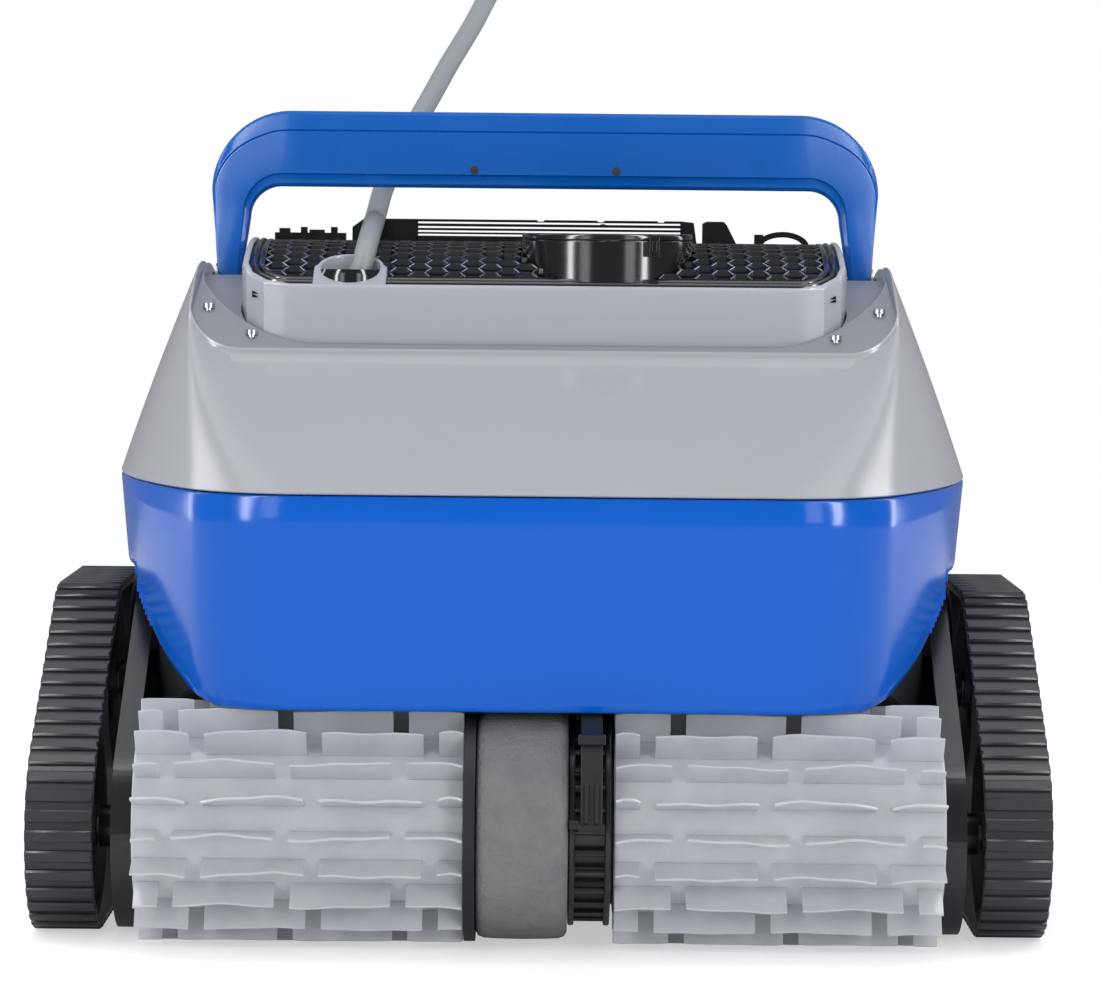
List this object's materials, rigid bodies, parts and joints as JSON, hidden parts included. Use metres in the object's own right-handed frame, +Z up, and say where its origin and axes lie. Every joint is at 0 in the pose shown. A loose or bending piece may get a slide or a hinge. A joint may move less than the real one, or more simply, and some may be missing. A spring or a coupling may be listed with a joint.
{
  "type": "robotic pool cleaner",
  "caption": "Tracked robotic pool cleaner with bladed scrubbing brushes, hooded shell, swinging carry handle, honeycomb deck, outlet nozzle and floating cable.",
  "frame": {"origin": "on the floor, under the middle of the body", "axes": "+X to the machine's right as seen from the front, +Y from front to back, +Z up"},
  "size_m": [0.43, 0.6817, 0.4213],
  "materials": {
    "blue_shell": "gloss moulded ABS",
    "blue_handle": "satin moulded ABS",
    "grey_shell": "gloss moulded ABS",
    "grey_turret": "gloss moulded ABS",
    "grey_ledge": "gloss moulded ABS",
    "black_gloss": "gloss moulded ABS",
    "black_grille": "satin moulded ABS",
    "black_frame": "fine moulded texture",
    "track_rubber": "moulded rubber with cross ribs",
    "blade_pvc": "milky soft PVC",
    "drum_foam": "soft matt PVA foam",
    "wheel_plastic": "moulded nylon",
    "steel": "turned stainless steel",
    "motor_can": "sealed moulded case",
    "natural_nylon": "natural nylon",
    "basket_plastic": "moulded polypropylene",
    "float_foam": "closed-cell foam",
    "flap_rubber": "smooth rubber",
    "cable_jacket": "foamed cable jacket",
    "connector_plastic": "moulded nylon"
  },
  "bodies": {
    "chassis": {"chassis_tub": "black_frame", "bottom_plate": "black_frame", "lower_shell": "blue_shell", "upper_shell": "grey_shell", "turret": "grey_turret", "ledge_ring": "grey_ledge", "deck_grille": "black_grille", "grille_rim": "black_grille", "outlet_nozzle": "black_gloss", "cable_well": "black_frame", "cable_gland": "black_frame", "rear_louvre": "black_frame", "rear_latches": "black_frame", "side_plate_left": "black_frame", "side_plate_right": "black_frame", "track_belt_left": "track_rubber", "track_belt_right": "track_rubber", "idler_axles": "steel", "pump_motor": "motor_can", "drive_gearbox_left": "motor_can", "drive_gearbox_right": "motor_can", "filter_basket": "basket_plastic", "float_blocks": "float_foam", "brush_guides": "black_frame", "handle_pivots": "steel", "ledge_screws": "steel", "side_plate_screws": "steel", "brush_bushes": "natural_nylon", "cable_tube": "cable_jacket", "cable_coil": "cable_jacket", "cable_tail": "cable_jacket", "cable_connector": "connector_plastic"},
    "handle": {"handle_top_shell": "blue_handle", "handle_bottom_shell": "blue_handle", "handle_screws": "steel"},
    "front_brush": {"brush_shaft_front": "black_frame", "brush_sleeve_front_left": "blade_pvc", "brush_sleeve_front_right": "blade_pvc", "brush_drum_front": "drum_foam", "brush_ring_front": "black_frame"},
    "front_pinion": {"brush_pinion_front": "natural_nylon"},
    "rear_brush": {"brush_shaft_rear": "black_frame", "brush_sleeve_rear_left": "blade_pvc", "brush_sleeve_rear_right": "blade_pvc", "brush_drum_rear": "drum_foam", "brush_ring_rear": "black_frame"},
    "rear_pinion": {"brush_pinion_rear": "natural_nylon"},
    "drive_left": {"drive_shaft_left": "steel", "drive_wheel_left": "wheel_plastic"},
    "front_idler_left": {"front_wheel_left": "wheel_plastic"},
    "rear_idler_left": {"rear_wheel_left": "wheel_plastic"},
    "upper_idler_left": {"upper_wheel_left": "wheel_plastic"},
    "flap_left": {"intake_flap_left": "flap_rubber"},
    "drive_right": {"drive_shaft_right": "steel", "drive_wheel_right": "wheel_plastic"},
    "front_idler_right": {"front_wheel_right": "wheel_plastic"},
    "rear_idler_right": {"rear_wheel_right": "wheel_plastic"},
    "upper_idler_right": {"upper_wheel_right": "wheel_plastic"},
    "flap_right": {"intake_flap_right": "flap_rubber"},
    "impeller": {"impeller": "basket_plastic"}
  },
  "joints": [
    {"name": "handle_swing", "type": "hinge", "parent": "chassis", "child": "handle", "pos_m": [0, 0, 0.277], "axis": [1, 0, 0], "range_deg": [-20, 30]},
    {"name": "front_brush_spin", "type": "hinge", "parent": "chassis", "child": "front_brush", "pos_m": [0, -0.15, 0.0515], "axis": [1, 0, 0], "continuous": true},
    {"name": "front_pinion_spin", "type": "hinge", "parent": "chassis", "child": "front_pinion", "pos_m": [0, -0.10319, 0.08428], "axis": [1, 0, 0], "continuous": true},
    {"name": "rear_brush_spin", "type": "hinge", "parent": "chassis", "child": "rear_brush", "pos_m": [0, 0.15, 0.0515], "axis": [1, 0, 0], "continuous": true},
    {"name": "rear_pinion_spin", "type": "hinge", "parent": "chassis", "child": "rear_pinion", "pos_m": [0, 0.10319, 0.08428], "axis": [1, 0, 0], "continuous": true},
    {"name": "drive_left_spin", "type": "hinge", "parent": "chassis", "child": "drive_left", "pos_m": [0, 0.041, 0.098], "axis": [1, 0, 0], "continuous": true},
    {"name": "front_idler_left_spin", "type": "hinge", "parent": "chassis", "child": "front_idler_left", "pos_m": [0, -0.121, 0.044], "axis": [1, 0, 0], "continuous": true},
    {"name": "rear_idler_left_spin", "type": "hinge", "parent": "chassis", "child": "rear_idler_left", "pos_m": [0, 0.121, 0.044], "axis": [1, 0, 0], "continuous": true},
    {"name": "upper_idler_left_spin", "type": "hinge", "parent": "chassis", "child": "upper_idler_left", "pos_m": [0, -0.041, 0.098], "axis": [1, 0, 0], "continuous": true},
    {"name": "drive_right_spin", "type": "hinge", "parent": "chassis", "child": "drive_right", "pos_m": [0, 0.041, 0.098], "axis": [1, 0, 0], "continuous": true},
    {"name": "front_idler_right_spin", "type": "hinge", "parent": "chassis", "child": "front_idler_right", "pos_m": [0, -0.121, 0.044], "axis": [1, 0, 0], "continuous": true},
    {"name": "rear_idler_right_spin", "type": "hinge", "parent": "chassis", "child": "rear_idler_right", "pos_m": [0, 0.121, 0.044], "axis": [1, 0, 0], "continuous": true},
    {"name": "upper_idler_right_spin", "type": "hinge", "parent": "chassis", "child": "upper_idler_right", "pos_m": [0, -0.041, 0.098], "axis": [1, 0, 0], "continuous": true},
    {"name": "impeller_spin", "type": "hinge", "parent": "chassis", "child": "impeller", "pos_m": [0.028, -0.035, 0.245], "axis": [0, 0, 1], "continuous": true},
    {"name": "flap_left_swing", "type": "hinge", "parent": "chassis", "child": "flap_left", "pos_m": [0, -0.013, 0.0293], "axis": [1, 0, 0], "range_deg": [0, 50]},
    {"name": "flap_right_swing", "type": "hinge", "parent": "chassis", "child": "flap_right", "pos_m": [0, -0.013, 0.0293], "axis": [1, 0, 0], "range_deg": [0, 50]}
  ],
  "couplings": [
    {"joint": "front_pinion_spin", "follows": "front_brush_spin", "ratio": -2.3333},
    {"joint": "rear_pinion_spin", "follows": "rear_brush_spin", "ratio": -2.3333},
    {"joint": "front_idler_left_spin", "follows": "drive_left_spin", "ratio": 1},
    {"joint": "rear_idler_left_spin", "follows": "drive_left_spin", "ratio": 1},
    {"joint": "upper_idler_left_spin", "follows": "drive_left_spin", "ratio": 1},
    {"joint": "front_idler_right_spin", "follows": "drive_right_spin", "ratio": 1},
    {"joint": "rear_idler_right_spin", "follows": "drive_right_spin", "ratio": 1},
    {"joint": "upper_idler_right_spin", "follows": "drive_right_spin", "ratio": 1}
  ]
}
